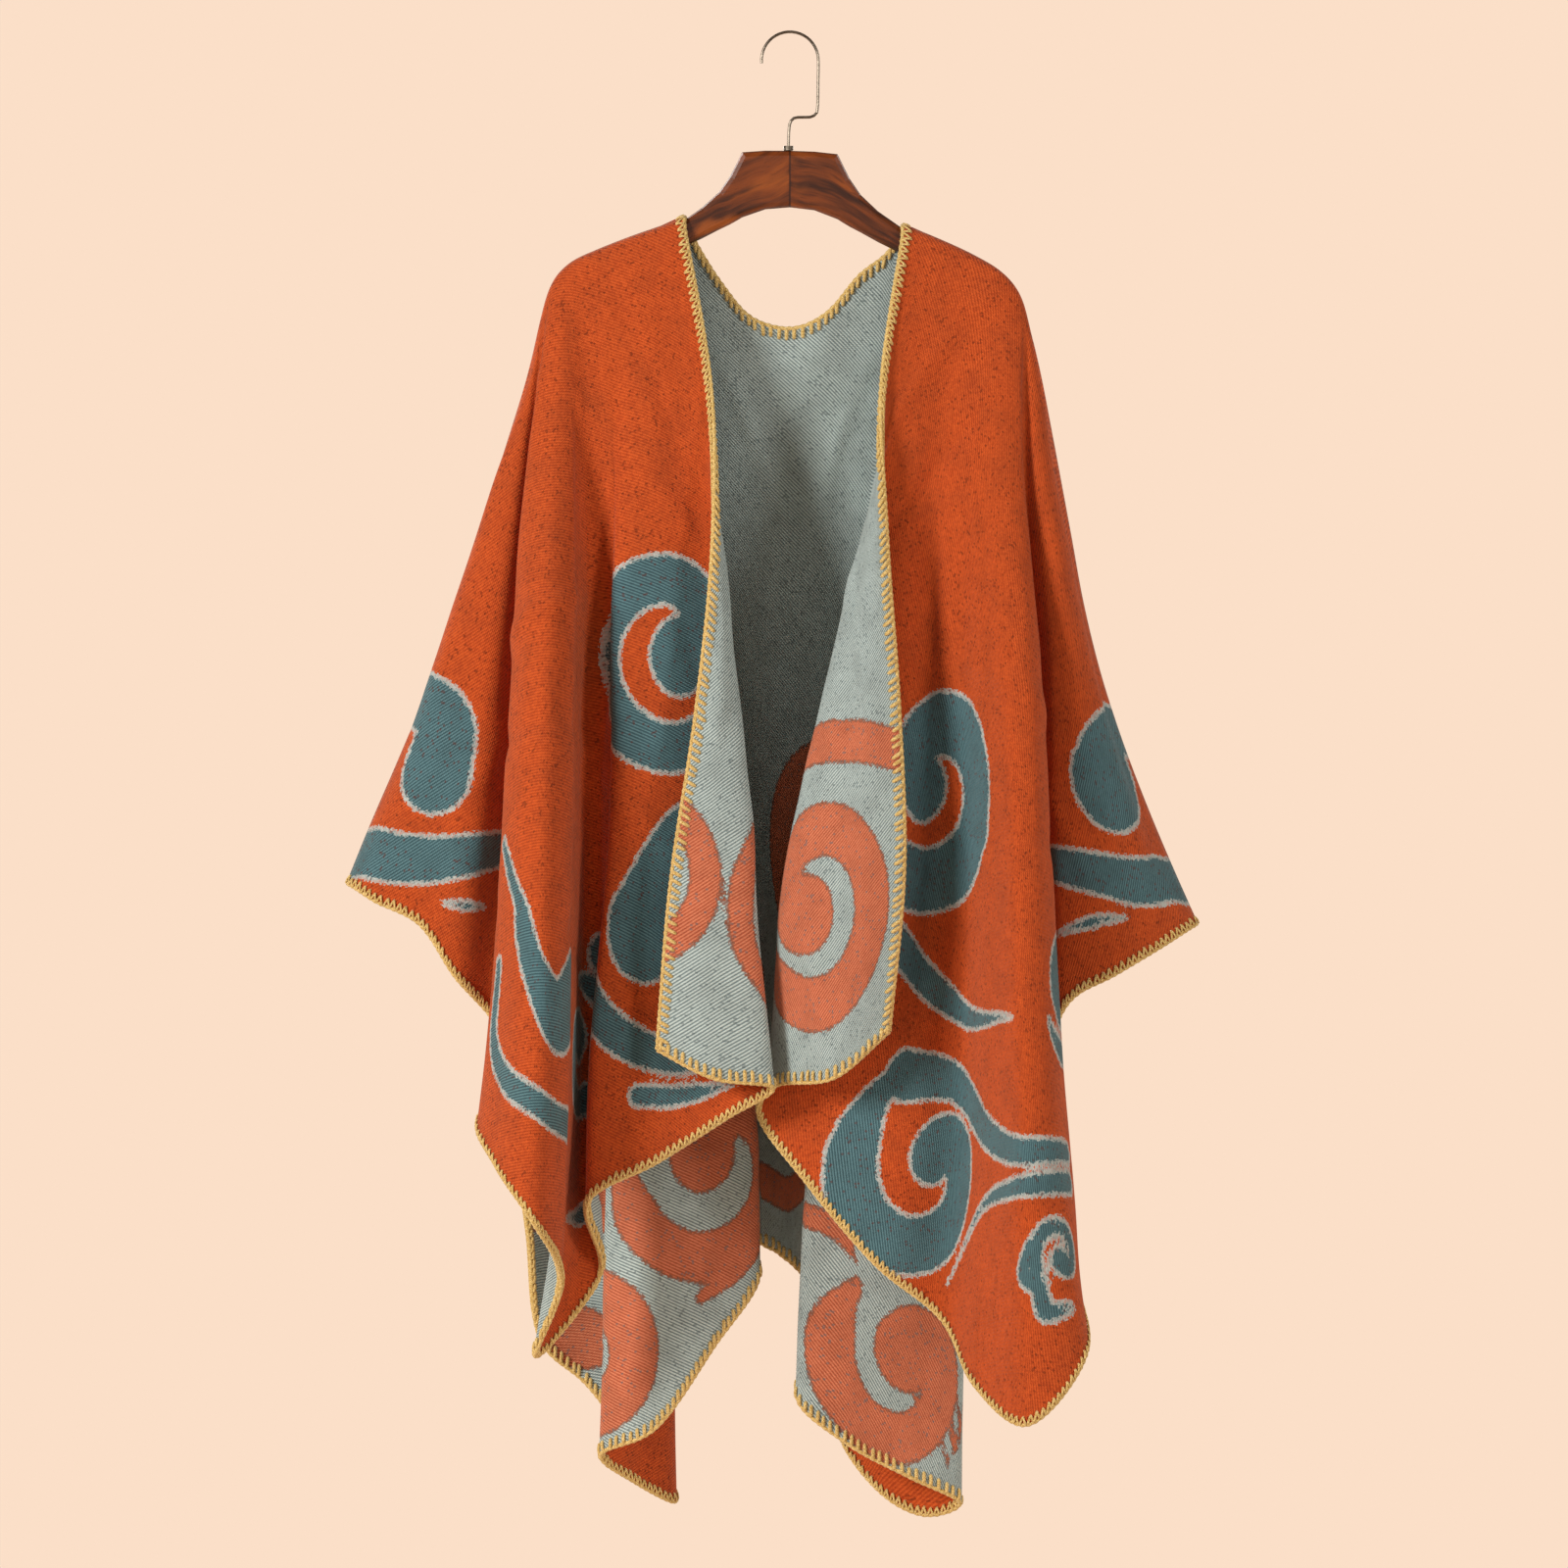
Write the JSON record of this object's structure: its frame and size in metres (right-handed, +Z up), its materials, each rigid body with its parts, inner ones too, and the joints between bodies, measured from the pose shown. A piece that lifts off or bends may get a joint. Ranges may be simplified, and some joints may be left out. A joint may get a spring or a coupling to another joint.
{
  "type": "open-front poncho on a clothes hanger",
  "caption": "Open-front reversible jacquard poncho with blanket-stitched edges, draped over a wooden clothes hanger with a wire hook.",
  "frame": {"origin": "inner top of the hanger's hook, where it rests on a rail", "axes": "+Z up, -Y towards the open front, +X towards the viewer's right seen from the front"},
  "size_m": [0.6948, 0.3193, 1.2153],
  "materials": {
    "cloth": "matt brushed jacquard, orange outside and grey-blue inside",
    "stitch": "soft mustard yarn",
    "wood": "glossy dark red-brown lacquer",
    "metal": "satin nickel wire"
  },
  "bodies": {
    "root": {"front_left_shoulder": "cloth", "front_right_shoulder": "cloth", "back_left_shoulder": "cloth", "back_right_shoulder": "cloth", "front_left_lapel": "cloth", "front_left_face": "cloth", "front_left_column": "cloth", "front_left_wing": "cloth", "front_right_lapel": "cloth", "front_right_face": "cloth", "front_right_column": "cloth", "front_right_wing": "cloth", "back_left_wing": "cloth", "back_left_wing_fold": "cloth", "back_left_side": "cloth", "back_left_column": "cloth", "back_left_tail": "cloth", "back_left_neck": "cloth", "back_right_wing": "cloth", "back_right_wing_fold": "cloth", "back_right_side": "cloth", "back_right_column": "cloth", "back_right_tail": "cloth", "back_right_neck": "cloth", "back_neck": "cloth", "hanger_bar": "wood", "hanger_hook": "metal", "hanger_nut": "metal"}
  },
  "joints": []
}
